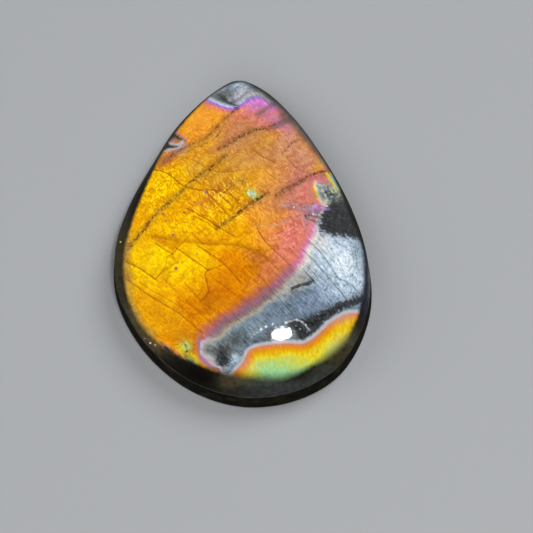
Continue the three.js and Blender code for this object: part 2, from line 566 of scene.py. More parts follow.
# Dabs: a place, the width and height of an oval, its turn, a colour and its strength.
GOLD_DABS = [
    (158, 266, 42, 27, 5, "lemon gold", 1.0), (204, 258, 18, 14, 0, "lemon gold", 0.5),
    (158, 190, 28, 20, -65, "gold", 1.0), (168, 226, 34, 12, -10, "gold", 0.9),
    (272, 190, 18, 40, 8, "caramel", 1.0), (300, 186, 22, 58, -10, "clay", 1.0),
    (240, 136, 46, 26, -28, "wheat", 1.0), (206, 122, 36, 17, -47, "bright orange", 1.0),
    (246, 124, 30, 10, -28, "tan", 0.95), (222, 169, 28, 9, -25, "ochre", 0.9),
    (196, 150, 26, 8, -32, "honey", 0.8), (195, 168, 14, 7, -35, "straw", 0.8),
    (255, 160, 22, 12, -25, "wheat", 0.8), (276, 156, 14, 16, 30, "peach", 0.9),
    (290, 140, 14, 12, 38, "biscuit", 0.9), (308, 158, 12, 14, -10, "biscuit", 0.8),
    (222, 200, 30, 16, -10, "honey", 0.85), (240, 182, 14, 8, -20, "ochre", 0.8),
    (178, 192, 20, 9, -40, "gold", 0.8), (228, 211, 20, 9, -30, "gold", 0.6),
    (256, 197, 18, 12, -28, "caramel", 0.8), (252, 216, 18, 10, -20, "bright orange", 0.5),
    (291, 240, 20, 26, 12, "coral", 1.0), (294, 196, 12, 12, 0, "clay", 0.9),
    (288, 192, 8, 6, -30, "brick", 0.45), (308, 190, 8, 8, 0, "coral", 0.7),
    (300, 222, 14, 10, 0, "salmon", 0.5), (240, 236, 16, 12, 0, "amber", 0.8),
    (264, 236, 13, 13, 0, "bright orange", 0.7), (236, 280, 34, 22, -40, "orange", 1.0),
    (206, 302, 24, 15, -30, "burnt orange", 0.8), (180, 286, 20, 9, 30, "gold", 0.7),
    (312, 230, 7, 12, 20, "rose", 0.6), (318, 206, 6, 5, 0, "amethyst", 0.8),
    (210, 224, 26, 12, -5, "gold", 0.8), (305, 197, 8, 8, 0, "coral", 0.6),
    (273, 236, 10, 9, 0, "coral", 0.4), (222, 282, 14, 10, -30, "orange", 0.7),
    (230, 258, 18, 8, 15, "orange", 0.9), (254, 268, 18, 12, -30, "burnt orange", 0.6),
    (280, 258, 12, 12, -40, "coral", 0.7), (268, 274, 16, 8, -42, "brick", 0.6),
    (160, 318, 30, 22, 45, "amber", 0.9), (192, 325, 16, 10, 0, "orange", 0.8),
    (178, 342, 18, 7, 25, "orange", 0.8), (168, 331, 12, 6, 30, "amber", 0.8),
    (248, 111, 13, 5, -25, "salmon", 0.95), (264, 120, 22, 9, 25, "salmon", 0.8),
    (258, 104, 14, 6, -20, "pink", 1.0), (270, 110, 10, 7, 32, "magenta", 1.0),
    (275, 118, 15, 7, 35, "rose", 1.0), (288, 128, 10, 6, 40, "rose", 0.6),
    (236, 117, 12, 4, -30, "coral", 0.6), (168, 159, 12, 5, -40, "brick", 0.6),
    (180, 149, 9, 6, -30, "dusk", 0.7), (258, 257, 18, 8, 25, "sienna", 0.8),
    (184, 333, 18, 6, 40, "burnt orange", 0.8), (246, 296, 22, 12, -38, "sienna", 0.8),
    (125, 250, 6, 26, 4, "haze", 1.0), (127, 283, 7, 22, -8, "haze", 1.0),
    (134, 311, 5, 18, -30, "haze", 1.0), (148, 331, 5, 14, -48, "haze", 0.9),
    (128, 226, 3, 16, 18, "haze", 0.8), (311, 214, 8, 8, -10, "dusk", 0.9),
    (303, 208, 8, 3, 0, "dusk", 0.6), (290, 206, 14, 4, 0, "heather", 0.5),
    (252, 194, 9, 6, 25, "yellow", 1.0), (252, 194, 5.6, 3.9, 25, "honeydew", 1.0),
    (251.5, 194, 4.6, 3.4, 20, "cyan", 0.9), (251, 193.5, 2.4, 1.8, 20, "snow", 0.6),
    (182, 336, 20, 9, 32, "burnt orange", 0.95), (206, 328, 12, 6, -30, "brick", 0.7),
    (228, 306, 16, 8, -38, "burnt orange", 0.5), (161, 281, 10, 5, 30, "amber", 0.6),
    (278, 174, 16, 10, -20, "caramel", 0.8), (268, 270, 11, 9, -40, "coral", 0.4),
    (285, 118, 12, 4, 45, "plum", 0.6), (193, 346, 4, 10, -5, "sienna", 0.7),
    (185, 346, 8, 9, 20, "citron", 0.9), (187, 347, 3, 3, 0, "mint", 0.8),
    (200, 361, 15, 2.4, 38, "yellow", 0.9), (192, 360, 11, 3, 38, "leaf", 0.9),
    (191, 363, 9, 2.5, 38, "teal", 0.9), (203, 363, 7, 2, 38, "copper", 0.8),
    (174, 351, 12, 2.2, 32, "copper", 0.9), (165, 346, 5, 2.5, 32, "rose", 0.8),
    (312, 142, 38, 5, 51, "heather", 0.9), (325, 163, 8, 5, 55, "ash", 0.6),
    (326, 180, 5, 2.6, 25, "indigo", 0.8), (319, 178, 8, 4, 0, "rose", 0.6),
    (316, 209, 7, 4, -20, "violet", 0.8), (172, 140.5, 8, 3, 10, "dusk", 0.9),
    (168, 157, 14, 4.5, -38, "russet", 0.8), (180, 142, 5, 9, 0, "caramel", 0.5),
    (220, 185, 14, 8, -20, "straw", 0.6), (264, 176, 16, 16, 0, "honey", 0.4),
    (238, 292, 13, 10, -40, "orange", 0.7), (165, 323, 15, 10, 38, "amber", 0.8),
    (190, 331, 10, 6, 30, "burnt orange", 0.7), (190, 306, 9, 8, 0, "burnt orange", 0.4),
    (203, 101, 5, 4, 0, "peach", 0.8), (310, 223, 6, 7, 0, "dusk", 0.6),
    (214, 165, 10, 8, -30, "amber", 0.5), (245, 199, 5, 4, 0, "gold", 0.6),
    (230, 204, 20, 12, -30, "gold", 0.6), (170, 180, 16, 10, -40, "lemon gold", 0.6),
]

# Areas: a colour, its strength, the softness of the edge and the closed border.
GOLD_AREAS = [
    ("deep gold", 0.8, 2.0, [
        (150, 232), (170, 236), (195, 239), (225, 240), (250, 247), (262, 254), (248, 250),
        (225, 245.5), (195, 244), (180, 242), (174, 252), (166, 245), (152, 239),
    ]),
    ("burnt orange", 0.2, 1.2, [
        (208, 270), (226, 265), (240, 268), (238, 284), (224, 300), (210, 316), (199, 312),
        (199, 302), (207, 292), (206, 280),
    ]),
    ("deep gold", 0.45, 1.6, [
        (127, 281), (143, 292), (160, 303), (178, 314), (198, 330), (190, 341), (170, 331),
        (150, 316), (134, 302),
    ]),
    ("orange", 0.45, 1.5, [(184, 284), (201, 300), (196, 318), (182, 308), (172, 290)]),
    ("amber", 0.25, 2.0, [(196, 121), (214, 110), (228, 112), (210, 130), (192, 141), (182, 142)]),
]

SILVER_DABS = [
    (342, 262, 24, 30, 0, "ice", 1.0), (343, 262, 10, 14, 0, "snow", 0.5),
    (338, 244, 22, 7, 15, "pale blue", 0.8), (320, 248, 14, 12, -60, "cream", 0.8),
    (322, 264, 10, 8, 42, "pale blue", 0.9), (356, 250, 6, 14, -10, "mist", 0.6),
    (320, 284, 22, 10, -30, "pale blue", 0.6), (342, 292, 20, 7, -20, "pale blue", 0.9),
    (296, 284, 18, 7, -40, "sand", 0.8), (302, 288, 8, 4, -20, "ash", 0.6),
    (308, 300, 22, 8, -30, "steel blue", 0.9), (328, 300, 12, 5, -25, "steel blue", 0.6),
    (280, 310, 24, 8, -36, "slate", 0.9), (252, 328, 20, 7, -25, "mist", 0.9),
    (240, 337, 18, 7, -10, "graphite", 0.9), (222, 348, 17, 14, 0, "smoke", 0.9),
    (212, 338, 14, 10, -30, "ash", 1.0), (219, 350, 9, 13, -25, "charcoal", 0.8),
    (212, 352, 6, 8, -30, "smoke", 0.6), (236, 359, 6, 6, 30, "pale blue", 0.9),
    (213, 363, 8, 3, 38, "lilac", 0.8), (224, 368.5, 9, 3, 0, "mist", 0.9),
    # The first dab on the next line darkens round the highlight: painted reflection.
    (297, 330, 16, 9, -20, "graphite", 0.8), (264, 340, 14, 4, -5, "graphite", 0.7),
    (240, 85, 13, 4, 5, "pale blue", 0.9), (226, 94, 11, 5, 10, "smoke", 0.9),
    (216, 99, 7, 3.5, 30, "smoke", 0.7), (240, 97, 6, 9, 10, "lilac", 0.9),
    (247, 96, 6, 6, -30, "pearl", 0.9), (229, 101, 6, 3, 0, "lilac", 0.8),
    (260, 93, 12, 5, 40, "sage", 1.0), (266, 99, 8, 4, 40, "sage", 0.9),
    (330, 194, 16, 11, 10, "graphite", 1.0), (320, 190, 5, 7, -20, "ice", 0.8),
    (334, 186, 5, 3, 35, "ash", 0.9), (328, 203, 12, 4, 20, "charcoal", 0.9),
    (345, 200, 6, 5, 50, "charcoal", 0.9), (318, 225, 5, 7, 0, "iris", 0.9),
    (322, 211, 7, 6, 0, "indigo", 0.9), (318, 218, 5, 4, 0, "iris", 0.8),
    (312, 258, 10, 13, -40, "ice", 0.7), (336, 248, 14, 7, 0, "ice", 0.7),
    (309, 270, 7, 7, 0, "silver", 0.7), (352, 281, 13, 7, -20, "pale blue", 0.8),
    (284, 293, 10, 6, -40, "silver", 0.7), (329, 292, 12, 5, -25, "pale blue", 0.6),
    (305, 294, 12, 6, -30, "slate", 0.8), (283, 317, 14, 6, -35, "slate", 1.0),
    (308, 327, 8, 4, -30, "slate", 0.6), (316, 233, 6, 5, 0, "dusk", 0.7),
    (256, 330, 14, 5, -25, "mist", 0.6), (222, 331, 14, 5, -30, "sand", 0.6),
    (322, 258, 9, 9, 0, "pale blue", 0.6), (357, 282, 7, 10, 0, "ice", 0.5),
    (213, 341, 8, 7, 0, "ash", 0.8), (232, 343, 12, 6, -10, "graphite", 0.6),
    (243, 94, 9, 7, 30, "silver", 0.7),
]

# The gold's hatched lines: their turn in degrees, their length and a shift of the patches they fill.
GOLD_HATCHING = ((41, 24, 0), (-34, 18, 60), (76, 14, 120))

# How strongly red, green and blue follow the light and shade of the foil, and how bright it is.
GOLD_SHARES = (0.6, 1.1, 1.4)
GOLD_LEVEL = 1.07
GOLD_DEEPEST_SHADE = -0.26
CREASE_TINT = (0.6, 0.40, 0.5, 1)
FRINGE_SHARES = (1, 1, 1)
FRINGE_LEVEL = 1.06
RAINBOW_SHARES = (0.3, 0.3, 0.3)
RAINBOW_LEVEL = 1.06
SILVER_LEVEL = 1.15
SILVER_DEEPEST_SHADE = 0.15

# Splinters of the sparkling patch: a colour, a width in pixels and a shift that sets them apart.
SPLINTERS = (
    ("teal", 6, 90), ("leaf", 4.4, 50), ("lilac", 4.2, 70), ("honeydew", 3.4, 20), ("ink", 4, 0),
)
SPLINTER_TURN = -40
SPLINTER_LENGTH = 1.7
SPARKLE_STRENGTH = 0.85

# Dark patches: the stored depth, the turn of their streaks, and their greys from the darkest
# streaks to the palest.
DARK_PATCHES = [
    ("charcoal_depth", 8, [(0.34, "coal"), (0.5, "charcoal"), (0.68, "pewter")]),
    # The dark band and the lobe's centre, with painted shade at the lower-left edge and painted
    # reflection round the highlight.
    ("shade_and_dark_band_depth", 46, [(0.3, "black"), (0.45, "coal"), (0.54, "charcoal"), (0.68, "graphite")]),
]

# Stops across the rainbow band, from its upper edge inwards.
RAINBOW_STOPS = [
    (-6, "graphite"), (-3.6, "mist"), (-1.6, "silver"), (0, "blossom"), (1.4, "clay"),
    (3.4, "copper"), (6, "sunset"), (9, "sun"), (11.5, "yellow"), (14.5, "citron"), (18.5, "lime"),
    (25, "mint"),
]

# The black dabs at the lower left are painted shade; the grey-green and sage dabs on the lower right
# shoulder are painted reflections.
BODY_AND_PAINTED_LIGHT_DABS = [
    (118, 260, 12, 80, 4, "olive black", 1.0), (150, 355, 40, 20, 45, "olive black", 0.6),
    (172, 372, 28, 13, 35, "black", 0.7), (200, 377, 20, 10, 25, "black", 0.9),
    (226, 381, 12, 10, 0, "moss", 0.5), (366, 275, 5, 60, 0, "navy", 1.0),
    (262, 384, 34, 6, 0, "grey green", 1.0), (285, 390, 60, 8, -8, "charcoal", 0.8),
    (345, 350, 28, 24, 0, "olive black", 1.0), (322, 373, 20, 9, -35, "sage", 0.35),
    (352, 338, 8, 12, 25, "sage", 0.3), (134, 318, 6, 20, -30, "moss", 1.0),
    (150, 341, 8, 20, -48, "moss", 1.0), (236, 380, 14, 7, 0, "moss", 0.6),
    (298, 130, 24, 56, -38, "pewter", 1.0), (165, 145, 8, 50, 40, "olive black", 1.0),
    (370, 268, 2.2, 46, 0, "smoke", 0.9),
]

# Kinds of stroke: a colour, half the width, the strength, how beaded it is and how one-sided.
STROKE_KINDS = {
    "vein": ("bark", 1.5, 0.92, 0.85, 0.0), "faint vein": ("bark", 1.2, 0.65, 0.9, 0.0),
    "vein shade": ("umber", 3.6, 0.42, 0.4, 0.0), "crease": ("brown", 0.75, 0.72, 0.2, 0.0),
    "fine crease": ("brown", 0.6, 0.55, 0.3, 0.0), "fold": ("brown", 2.0, 0.34, 0.0, 1.0),
    "smear": ("plum", 2.6, 0.8, 0.1, 0.0), "silver scratch": ("graphite", 0.6, 0.7, 0.15, 0.0),
    "slot": ("ink", 1.8, 0.95, 0.2, 0.0), "pale scratch": ("lilac", 0.8, 0.5, 0.95, 0.0),
    # The snow-coloured kind at the end of the next line draws a painted glint.
    "flash line": ("indigo", 0.8, 0.6, 0.5, 0.0), "glow": ("snow", 1.0, 0.5, 0.5, 0.0),
    "feather": ("pale blue", 1.1, 0.9, 0.3, 0.0), "lit edge": ("yellow", 1.7, 0.9, 0.2, 0.0),
    "cyan edge": ("cyan", 2.0, 0.95, 0.1, 0.0), "wisp": ("charcoal", 0.9, 0.7, 0.6, 0.0),
    "violet line": ("amethyst", 1.2, 0.85, 0.4, 0.0), "pink edge": ("rose", 1.1, 0.8, 0.3, 0.0),
    "plume": ("lilac", 1.5, 0.6, 0.5, 0.0),
}

# Strokes, laid down in this order: a kind, and the points that each stroke runs through.
STROKES = [
    ("vein shade", [
        [(128, 249), (155, 216), (180, 193), (206, 171), (224, 157)],
        [(163, 163), (184, 149), (207, 138), (217, 127), (237, 109)],
        [(219, 149), (247, 133), (266, 128), (284, 121)], [(216, 229), (243, 209), (268, 193)],
        [(275, 197), (296, 183), (330, 171)],
    ]),
    ("vein", [
        [(128, 249), (142, 232), (155, 216), (168, 203), (180, 193), (192, 181), (205, 172),
         (217, 163), (226, 155)],
        [(219, 149), (226, 146), (240, 136), (248, 133), (257, 129), (267, 129), (275, 125),
         (284, 121), (294, 116)],
        [(216, 229), (230, 219), (243, 209), (256, 200), (269, 192)],
        [(275, 197), (280, 192), (288, 187), (298, 183), (307, 177), (317, 173), (330, 171)],
        [(253, 202), (258, 199), (263, 196)],
    ]),
    ("faint vein", [
        [(162, 163), (172, 155), (180, 150), (190, 145), (207, 137), (216, 128), (226, 118),
         (238, 108)],
        [(186, 153), (199, 146), (212, 141), (220, 132)], [(282, 193), (294, 187), (306, 180)],
        [(285, 150), (292, 143), (299, 140), (305, 139)],
    ]),
    ("fine crease", [
        [(282, 152), (290, 162), (300, 170), (308, 173)],
        [(182, 157), (197, 162), (210, 170), (225, 172), (242, 170)], [(265, 171), (280, 182)],
        [(193, 235), (203, 244)], [(249, 266), (263, 280), (270, 289)], [(290, 250), (298, 258)],
    ]),
    ("crease", [
        [(253, 150), (263, 157), (274, 162)],
        [(150, 169), (167, 173), (182, 185), (200, 190), (214, 190), (230, 194)],
        [(188, 209), (203, 217), (218, 227), (234, 236)], [(214, 190), (223, 198), (233, 207)],
        [(207, 193), (217, 203), (227, 214)],
        [(126, 279), (143, 291), (160, 302), (177, 312), (190, 322), (202, 333)],
    ]),
    ("fine crease", [
        [(187, 166), (190, 175), (200, 184)], [(192, 216), (206, 222), (217, 231)],
        [(220, 189), (229, 197), (238, 205)], [(208, 199), (216, 207), (222, 213)],
        [(140, 283), (160, 295), (182, 308), (200, 323)],
    ]),
    ("crease", [[(226, 189), (234, 198), (243, 208)]]),
    ("fold", [
        [(146, 236.5), (160, 238), (173, 240), (182, 242.5), (197, 243.7), (213, 245.3), (227, 245),
         (238, 246.7), (250, 250), (262, 256), (272, 262)],
    ]),
    ("crease", [
        [(156, 243.7), (164, 249), (172.5, 254)], [(257, 228), (264, 240), (276, 252), (290, 265)],
    ]),
    ("fine crease", [
        [(172.5, 254), (167.5, 257.5), (165, 266.7), (156.7, 278)],
        [(172.5, 254), (181, 244), (192, 233)], [(240, 243), (252, 252), (264, 257), (278, 269)],
    ]),
    ("crease", [[(176.7, 248.3), (192, 259), (208, 270)], [(126, 262), (137, 267), (155, 279)]]),
    ("fine crease", [[(208, 270), (217, 267), (226, 264)], [(155, 279), (165, 270), (178, 262)]]),
    ("crease", [
        [(198, 246), (212, 255), (226, 266), (241, 283)],
        [(208, 270), (205, 274), (207, 283), (208, 293), (200, 301)],
    ]),
    ("fine crease", [
        [(162, 277), (180, 295), (193, 307), (213, 325)],
        [(185, 283), (200, 300), (217, 313), (229, 322)], [(213, 278), (233, 293), (246, 303)],
    ]),
    ("smear", [[(275, 103), (266, 109), (257, 115)], [(292, 118), (283, 123), (274, 127)]]),
    ("silver scratch", [
        [(270, 289), (285, 305), (296, 319)], [(303, 250), (314, 261), (322, 270)],
        [(310, 242), (320, 252), (329, 264), (338, 278)], [(336, 277), (350, 284), (363, 297)],
        [(304, 270), (314, 281)], [(320, 268), (334, 284), (346, 299)],
    ]),
    ("slot", [[(292, 288.5), (298, 286), (305, 284.5), (313, 281)]]),
    ("pale scratch", [
        [(278, 209), (288, 205), (298, 204)], [(276, 203), (290, 207), (300, 209)],
        [(255, 227), (270, 225), (285, 222), (306, 216)],
    ]),
    ("flash line", [[(315, 210), (321, 206), (327, 209)], [(315, 222), (318, 226), (316, 231)]]),
    ("wisp", [
        [(322, 222), (314, 221), (307, 219)], [(326, 216), (317, 217), (309, 215)],
        [(183, 342), (187, 348), (186, 353)],
    ]),
    ("feather", [
        [(167, 142), (172, 144), (178, 144.5), (182, 141.5)],
        [(163, 151.5), (169, 149.5), (175, 149), (180, 146.5), (182, 143)],
    ]),
    ("pink edge", [[(174, 131.5), (179, 134), (184, 138), (187, 141), (185, 145)]]),
    ("lit edge", [[(326.5, 173), (330, 178.5), (334, 184), (338.5, 189)]]),
    ("cyan edge", [[(331.5, 175.5), (334.5, 181), (338.5, 187)]]),
    ("plume", [
        [(206, 97), (215, 92), (226, 88)], [(236, 103), (244, 97), (252, 91)],
        [(229, 100), (237, 94), (245, 90)],
    ]),
    ("violet line", [
        [(198.5, 340), (198.3, 344), (199.5, 348)], [(200, 357), (207, 364), (215, 369.5)],
        [(317, 182.5), (323, 183.5), (330, 185)], [(314, 213), (320, 210), (329, 209)],
    ]),
    ("wisp", [[(190, 350), (185, 352)]]),
    # A painted glint: a white arc over the dark beside the highlight.
    ("glow", [[(287, 322), (297, 320), (303, 323), (309, 330)]]),
]

# Specks, laid down in this order: a colour, and each speck's place and radius. Most are marks in the
# stone; the white chain and pale specks round the highlight and the specks on the left rim are painted
# glints.
SPECKS_AND_GLINTS = [
    ("snow", [
        # Painted glints: all but the first speck of this white group lie round the highlight.
        (230, 187.5, 1.3), (252, 336.5, 1.5), (255, 334, 1.6), (258, 332, 1.5), (261, 329.5, 1.7),
        (266, 326.5, 1.5), (273, 324.5, 1.6), (286, 322.5, 1.5), (291, 321, 0.9), (297, 319.5, 1.1),
        (302, 322, 0.9), (306, 325, 0.9),
    ]),
    ("indigo", [(232.5, 186, 1.8), (305, 207, 1.0)]),
    ("charcoal", [(235, 187.5, 1.7)]),
    ("heather", [
        (237, 185, 1.0), (194, 202, 1.0), (201, 205, 1.1), (235, 197, 1.0), (244, 200, 1.2),
        (149, 207.5, 1.0), (176, 268.5, 1.8), (183, 275, 1.0), (197, 254, 1.1),
    ]),
    ("plum", [
        (240, 183, 1.6), (243, 181.5, 1.4), (228, 189, 1.0), (204, 190, 1.2), (220, 196, 1.0),
        (159, 211, 1.0), (150, 147, 1.1),
    ]),
    ("heather", [(208, 194, 1.0), (155, 209, 1.0), (163, 214, 1.5), (166, 221, 1.2)]),
    ("lilac", [(297, 214, 1.0)]),
    ("indigo", [(291, 208, 1.1), (206, 192, 1.4)]),
    ("snow", [(294, 207, 1.0), (305, 215, 1.7)]),
    ("lilac", [(283, 205, 1.0)]),
    ("mauve", [(173, 231, 1.1), (173, 235, 1.4)]),
    ("haze", [(130, 272, 1.0)]),
    ("umber", [(184, 212.5, 1.3)]),
    ("ink", [(305.5, 216, 1.2), (316, 216, 1.6)]),
    ("snow", [(313, 214, 1.0)]),
    ("iris", [(309, 330, 1.0)]),
    ("indigo", [(304, 333, 1.2)]),
    ("violet", [(307, 332, 1.0)]),
    # Painted glints on the left rim: this speck and the four on the next three lines.
    ("citron", [(120.5, 242, 1.0)]),
    ("ash", [(145, 339, 1.4)]),
    ("snow", [(148, 342, 1.4), (150.5, 343, 1.2)]),
    ("ash", [(155, 345, 1.4)]),
    # Painted glints round the highlight: the pale blue, ice and ash specks below.
    ("pale blue", [(300, 329, 1.0), (296, 326, 0.9)]),
    ("ice", [(276, 327, 0.9)]),
    ("ash", [(280, 325, 0.9)]),
]

DAB_FIRMNESS = 1.4
BORDER_SAMPLES = 4
STROKE_SAMPLES = 6
STROKE_FADE = 2.5
STROKE_GAP = 5.5
STROKE_MARGIN = 1.5
STROKE_SPREAD = 1.6
FAR_AWAY = 99.0
SPECK_MARGIN = 2.5
RAINBOW_EDGE = 9

# How numbers are stored on the mesh's points, by how many belong to a point.
STORED_KINDS = {1: ("FLOAT", "value"), 3: ("FLOAT_VECTOR", "vector"), 4: ("FLOAT_COLOR", "color")}

# The flash keeps off the girdle by this height in millimetres, and off faces steeper than this.
FLASH_GAP = 0.75
FLASH_GAP_RATE = 8
FLASH_STEEPEST = 0.2
FLASH_STEEPEST_RATE = 40

# How much light the faces on both sides of a stroke take on, and how far that reaches.
FACE_REACH = 5.0
FACE_DEPTHS = {"crease": 1.0, "fine crease": 0.6, "vein": 0.5}


def lines_apart(line, other):
    return np.linalg.norm(line[:, None] - other[None], axis=2).min()


def stroke_layers():
    """The strokes sorted into layers, so that no two of one layer come near each other and each
    lies over those before it."""
    layers = []
    strokes = [(STROKE_KINDS[kind], smooth_curve(knots, STROKE_SAMPLES, closed=False))
               for kind, curves in STROKES for knots in curves]
    for stroke in strokes:
        lowest = 0
        for index, layer in enumerate(layers):
            if any(strokes_touch(stroke, laid) for laid in layer):
                lowest = index + 1
        if lowest == len(layers):
            layers.append([])
        layers[lowest].append(stroke)
    return layers


def strokes_touch(stroke, other):
    return lines_apart(stroke[1], other[1]) < stroke[0][1] + other[0][1] + STROKE_GAP


def paint_strokes(mesh, places):
    """Stores each layer's strokes: the place across a stroke, its beads, its side and its colour."""
    layers = stroke_layers()
    for index, layer in enumerate(layers):
        shape = np.full((len(places), 3), FAR_AWAY)
        tint = np.zeros((len(places), 4))
        nearest = np.full(len(places), np.inf)
        for (name, half_width, strength, beads, one_sided), line in layer:
            across, beyond, distance = line_distances(places, line)
            fade = 1 - smooth_step(0, STROKE_FADE, beyond)
            edge = half_width * STROKE_SPREAD + STROKE_MARGIN
            close = 1 - smooth_step(edge, edge + STROKE_MARGIN, distance)
            mine = distance < nearest
            nearest = np.where(mine, distance, nearest)
            kind = np.tile([beads, one_sided], (len(places), 1))
            shape[mine] = np.column_stack([across / half_width, kind])[mine]
            tint[mine, :3] = pigment(PALETTE[name])
            tint[mine, 3] = (strength * fade * close)[mine]
        store(mesh, f"stroke_shape_{index}", shape)
        store(mesh, f"stroke_tint_{index}", tint)
    return len(layers)


def folded_faces(places):
    """Light on one side of each crease and shade on the other, from 1 to -1."""
    shade = np.zeros(len(places))
    creases = [(FACE_DEPTHS[kind], knots) for kind, curves in STROKES if kind in FACE_DEPTHS
               for knots in curves]
    for depth, knots in creases:
        line = smooth_curve(knots, STROKE_SAMPLES, closed=False)
        across, beyond, distance = line_distances(places, line)
        fade = 1 - smooth_step(0, FACE_REACH, beyond)
        shade -= depth * np.sign(across) * fade * np.exp(-distance / FACE_REACH)
    return shade


def paint_specks_and_glints(mesh, places):
    tint = np.zeros((len(places), 4))
    for name, specks in SPECKS_AND_GLINTS:
        for across, down, radius in specks:
            distance = np.linalg.norm(places - np.array([across, down]), axis=1)
            mine = distance < radius + SPECK_MARGIN
            tint[mine, :3] = pigment(PALETTE[name])
            tint[mine, 3] = (1 - distance / radius * 0.5)[mine]
    store(mesh, "speck_and_glint_tint", tint)


def deepest(places, borders):
    """How deep each place lies inside the nearest of several closed borders."""
    loops = [smooth_curve(border, BORDER_SAMPLES, closed=True) for border in borders]
    return np.max([area_depth(places, loop) for loop in loops], axis=0)


def lamp_aim(points, normals):
    """The highlight's spot on the dome, and the direction from there that mirrors into the camera."""
    to_camera = camera_position() - points
    to_camera /= np.linalg.norm(to_camera, axis=1)[:, None]
    facing = (normals * to_camera).sum(axis=1)
    distance = np.linalg.norm(picture_places(points) - np.array(HIGHLIGHT_PLACE), axis=1)
    index = np.where(facing > LEAST_FACING, distance, np.inf).argmin()
    return points[index], 2 * facing[index] * normals[index] - to_camera[index]


def light_levels(points, normals):
    """How bright a white surface renders at each point, by the direction that it faces."""
    lights = list(SOFTBOXES.values())
    lights.append((lamp_aim(points, normals)[1], LAMP_DISTANCE, LAMP_SIZE[0], LAMP_POWER))
    level = np.full(len(normals), WORLD_LIGHT)
    floor_level = WORLD_LIGHT
    for direction, distance, size, power in lights:
        direction = np.array(direction) / np.linalg.norm(direction)
        full = power / math.pi ** 2 / (distance ** 2 + (size / 2) ** 2)
        level += full * np.clip(normals @ direction, 0, None)
        floor_level += full * direction[2]
    return level + floor_level * FLOOR_PIGMENT * (1 - normals[:, 2]) / 2


def paint_stone(mesh, points):
    """Stores the broad colours, the borders, the strokes and the specks on the mesh's points."""
    places = picture_places(points)
    normals = vertex_normals(mesh)
    flash = area_depth(places, smooth_curve(FLASH_BORDER, 6, closed=True))
    above_girdle = (points[:, 2] / MM - GIRDLE_HEIGHT - FLASH_GAP) * FLASH_GAP_RATE
    facing_up = (normals[:, 2] - FLASH_STEEPEST) * FLASH_STEEPEST_RATE
    flash = np.minimum(flash, np.minimum(above_girdle, facing_up))
    store(mesh, "picture", np.column_stack([places, points[:, 2] / MM * PIXELS_PER_MM]))
    store(mesh, "place", points / MM)
    store(mesh, "lift", np.minimum(1 / light_levels(points, normals), LARGEST_LIFT))
    store(mesh, "flash", flash)
    store(mesh, "faces", folded_faces(places))
    for name, (ground, dabs) in SPREADS.items():
        store(mesh, name, spread(places, ground, dabs))
    for name, borders in AREA_BORDERS.items():
        store(mesh, name, deepest(places, borders))
    rainbow = deepest(places, [RAINBOW_BORDER])
    inner = np.maximum(rainbow - RAINBOW_EDGE, 0) * spread(places, *RAINBOW_PACE)
    store(mesh, "rainbow_depth", np.minimum(rainbow, RAINBOW_EDGE) + inner)
    store_paint(mesh, "gold_tint", brushed(places, "amber", GOLD_DABS, GOLD_AREAS))
    store_paint(mesh, "silver_tint", brushed(places, "slate", SILVER_DABS))
    store_paint(mesh, "body_and_painted_light_tint", brushed(places, "soot", BODY_AND_PAINTED_LIGHT_DABS))
    paint_specks_and_glints(mesh, places)
    return paint_strokes(mesh, places)


def store(mesh, name, values):
    """Stores a number, a vector of three or a colour of four for each point of the mesh."""
    kind, field = STORED_KINDS[1 if values.ndim == 1 else values.shape[1]]
    attribute = mesh.attributes.new(name, kind, "POINT")
    attribute.data.foreach_set(field, values.astype(np.float32).ravel())


def store_paint(mesh, name, colours):
    store(mesh, name, np.column_stack([pigment(colours), np.ones(len(colours))]))


